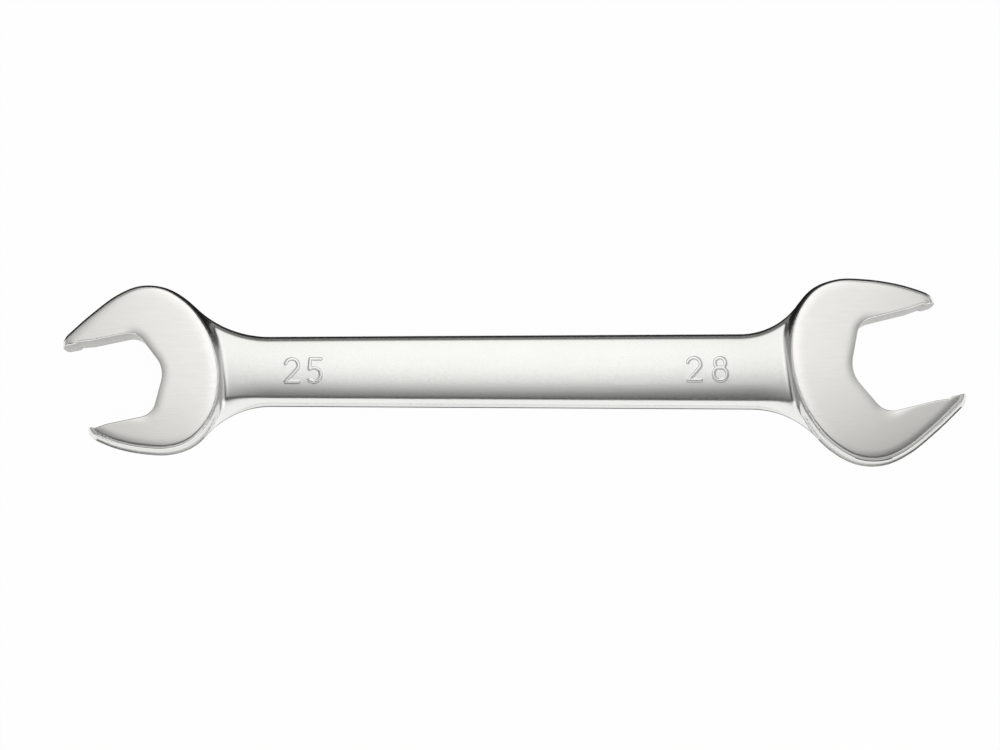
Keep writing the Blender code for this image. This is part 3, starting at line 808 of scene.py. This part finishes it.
studio = {
    "floorSize": 6000.0,
    "floorGap": 0.2,                 # keeps the floor from cutting the underside
    "floorColour": "#f4f4f3",
    "mattRoughness": 0.9,            # of the floor and the card
    "glowColour": "#ffffff",         # of the floor, as the camera and the plate see it
    "floorGlow": 0.98,
    "worldColour": "#3c3c3c",
    "worldStrength": 1.0,
    "panelDistance": 1200.0,
    # angles are from straight up towards the front, and a turn brings them round to a side;
    # a fade is a share of the radiance, from the middle to the rim
    "panels": {
        "backSoftbox": {"turn": 0.0, "from": -65.0, "to": 13.0, "low": -562, "high": 545, "radiance": 0.98,
                        "shape": "ELLIPSE", "fade": ((0.0, 1.0), (0.38, 0.94), (0.53, 0.85), (0.61, 0.75),
                                                     (0.69, 0.65), (0.75, 0.55), (0.86, 0.28), (1.0, 0.0))},
        "frontPanel": {"turn": 0.0, "from": 30.0, "to": 88.0, "low": -900, "high": 1400, "radiance": 1.04},
        "farWall": {"turn": 0.0, "from": -89.0, "to": -68.0, "low": -900, "high": 900, "radiance": 0.18},
        "leftFold": {"turn": -90.0, "from": 26.0, "to": 42.0, "low": -900, "high": 900, "radiance": 0.55},
        "leftWall": {"turn": -90.0, "from": 42.0, "to": 89.0, "low": -900, "high": 900, "radiance": 0.25},
        "rightFold": {"turn": 90.0, "from": 25.0, "to": 42.0, "low": -900, "high": 900, "radiance": 0.65},
        "rightWall": {"turn": 90.0, "from": 42.0, "to": 89.0, "low": -900, "high": 900, "radiance": 0.35},
    },
    "evenFade": ((0.0, 1.0), (1.0, 1.0)),
    # painted reflection: a black card that only the plate sees, painting dark lines round the wrench's
    # edges
    "paintedReflectionCard": {
        "colour": "#0a0a0a",
        "rise": 0.1,                 # above the floor
        "insides": (-4.0, 1.0),      # reach under the shank's far side, or short of it, and the rest
        "shankTo": (70.0, 85.0),     # where the one passes into the other
        "near": 3.6,                 # width of the strip all round
        "outside": 400.0,            # reach of the part on the far side
        "lean": (-0.85, 0.6),        # how that part fans out at the two ends
        "tips": 1.5,                 # end of each jaw that is left without a strip
    },
}


def addFloor():
    bpy.ops.mesh.primitive_plane_add(
        size=studio["floorSize"] * mm, location=(0, 0, -studio["floorGap"] * mm))
    floor = bpy.context.object
    floor.name = "floor"
    material, tree, shader = newMaterial("pale_floor")
    shader.inputs["Base Color"].default_value = linearColour(studio["floorColour"])
    shader.inputs["Roughness"].default_value = studio["mattRoughness"]
    path = addNode(tree, "ShaderNodeLightPath").outputs
    seen = addNode(tree, mathNode, {"operation": "ADD", "use_clamp": True}, {
        0: path["Is Camera Ray"], 1: path["Is Glossy Ray"]})
    seenAll = addNode(tree, mathNode, {"operation": "ADD", "use_clamp": True}, {
        0: seen, 1: path["Is Transmission Ray"]})
    share = addNode(tree, mathNode, {"operation": "MULTIPLY"}, {0: seenAll, 1: studio["floorGlow"]})
    glow = addNode(tree, "ShaderNodeEmission", {}, {
        "Color": linearColour(studio["glowColour"]), "Strength": 1.0})
    both = addNode(tree, "ShaderNodeMixShader", {}, {0: share, 1: shader, 2: glow})
    tree.links.new(both.outputs[0], tree.nodes["Material Output"].inputs["Surface"])
    floor.data.materials.append(material)


def addPaintedReflectionCard(card):
    # black card on the floor, hidden from the camera, from diffuse light and from shadows: a narrow strip
    # round the wrench, and all of the far side.
    # It is seen only in the plate, where it paints a dark reflection: the painted dark line round the edges
    run = np.roll(outer, -1, axis=0) - np.roll(outer, 1, axis=0)
    run /= np.hypot(*run.T)[:, None]
    outward = np.column_stack((run[:, 1], -run[:, 0]))
    lean = np.interp(outer[:, 0], (outer[:, 0].min(), outer[:, 0].max()), card["lean"])
    away = np.column_stack((lean, np.sqrt(1 - lean ** 2)))
    pastJaw = jawGapOf(outer)
    isMetal = pastJaw > card["tips"]
    isFar = (pastJaw > 0) & (np.sum(outward * away, axis=1) > 0)
    alongShank = np.where(outward[:, 1] > 0, np.abs(outer[:, 0]), forging["shankEnds"])
    byHead = easeIn(alongShank, *card["shankTo"])
    inside = card["insides"][0] * (1 - byHead) + card["insides"][1] * byHead
    inner = outer - outward * inside[:, None]
    rings = np.vstack((inner, outer + outward * card["near"], outer + away * card["outside"])) - middle
    count, faces = len(outer), []
    for i in range(count - 1):
        if isMetal[i] and isMetal[i + 1]:
            faces.append((i, i + 1, i + 1 + count, i + count))
        if isFar[i] and isFar[i + 1]:
            faces.append((i, i + 1, i + 1 + 2 * count, i + 2 * count))
    height = card["rise"] - studio["floorGap"]
    mesh = bpy.data.meshes.new("painted_reflection_card")
    mesh.from_pydata([(x * mm, y * mm, height * mm) for x, y in rings], [], faces)
    material, _, shader = newMaterial("painted_reflection_black")
    shader.inputs["Base Color"].default_value = linearColour(card["colour"])
    shader.inputs["Roughness"].default_value = studio["mattRoughness"]
    mesh.materials.append(material)
    thing = newObject("painted_reflection_card", mesh)
    # hidden from everything but the plate, so the card only paints dark reflections
    thing.visible_camera = thing.visible_diffuse = thing.visible_shadow = thing.visible_transmission = False


def addPanel(name, panel):
    # fills the sky between two angles, and from low to high across them
    distance = studio["panelDistance"]
    centreAngle, spreadAngle = (panel["from"] + panel["to"]) / 2, (panel["to"] - panel["from"]) / 2
    lamp = bpy.data.lights.new(name, "AREA")
    lamp.shape = panel.get("shape", "RECTANGLE")
    lamp.size = (panel["high"] - panel["low"]) * mm
    lamp.size_y = 2 * distance * math.tan(math.radians(spreadAngle)) * mm
    lamp.energy = panel["radiance"] * math.pi * lamp.size * lamp.size_y
    lamp.use_nodes = True
    tree = lamp.node_tree
    # the panel's own coordinates run from 0 to 1, and from its middle then from -1 to 1
    middled = addNode(tree, "ShaderNodeVectorMath", {"operation": "MULTIPLY_ADD"}, {
        0: addNode(tree, "ShaderNodeNewGeometry").outputs["Parametric"], 1: (2, 2, 0), 2: (-1, -1, 0)})
    out = addNode(tree, "ShaderNodeVectorMath", {"operation": "LENGTH"}, {0: middled})
    fade = addNode(tree, "ShaderNodeValToRGB", {}, {"Fac": out.outputs["Value"]})
    levels = panel.get("fade", studio["evenFade"])
    while len(fade.color_ramp.elements) < len(levels):
        fade.color_ramp.elements.new(1.0)
    for element, (position, level) in zip(fade.color_ramp.elements, levels):
        element.position, element.color = position, (level, level, level, 1.0)
    tree.links.new(fade.outputs["Color"], tree.nodes["Emission"].inputs["Color"])
    thing = newObject(name, lamp)
    thing.matrix_world = (Matrix.Rotation(math.radians(panel["turn"]), 4, "Z")
                          @ Matrix.Translation(((panel["high"] + panel["low"]) / 2 * mm, 0, 0))
                          @ Matrix.Rotation(math.radians(centreAngle), 4, "X")
                          @ Matrix.Translation((0, 0, distance * mm)))


addFloor()
addPaintedReflectionCard(studio["paintedReflectionCard"])
for name, panel in studio["panels"].items():
    addPanel(name, panel)

world = bpy.data.worlds.new("studio")
bpy.context.scene.world = world
world.use_nodes = True
world.node_tree.nodes["Background"].inputs["Color"].default_value = linearColour(studio["worldColour"])
world.node_tree.nodes["Background"].inputs["Strength"].default_value = studio["worldStrength"]

camera = {
    "tilt": 11.1,                    # degrees from straight above
    "distance": 725.0,
    "aim": (-4.0, 0.175, 4.9),
    "scale": 0.2935,                 # millimetres a pixel at the aim
    "pictureWidth": 1000,            # pixels
    "drop": 3.5,                     # pixels that the aim lies above the middle of the picture
    "sensor": 36.0,
    "clipStart": 10.0,
}
lens = bpy.data.cameras.new("camera")
lens.sensor_width = camera["sensor"]
lens.lens = camera["sensor"] * camera["distance"] / (camera["scale"] * camera["pictureWidth"])
lens.clip_start = camera["clipStart"] * mm
eye = newObject("camera", lens)
tilt = math.radians(camera["tilt"])
up = Vector((0, math.cos(tilt), math.sin(tilt)))
back = Vector((0, -math.sin(tilt), math.cos(tilt)))
down = up * camera["drop"] * camera["scale"]
eye.location = (Vector(camera["aim"]) + back * camera["distance"] - down) * mm
eye.rotation_euler = (tilt, 0, 0)
bpy.context.scene.camera = eye
bpy.context.scene.view_settings.view_transform = "Standard"
print("studio")
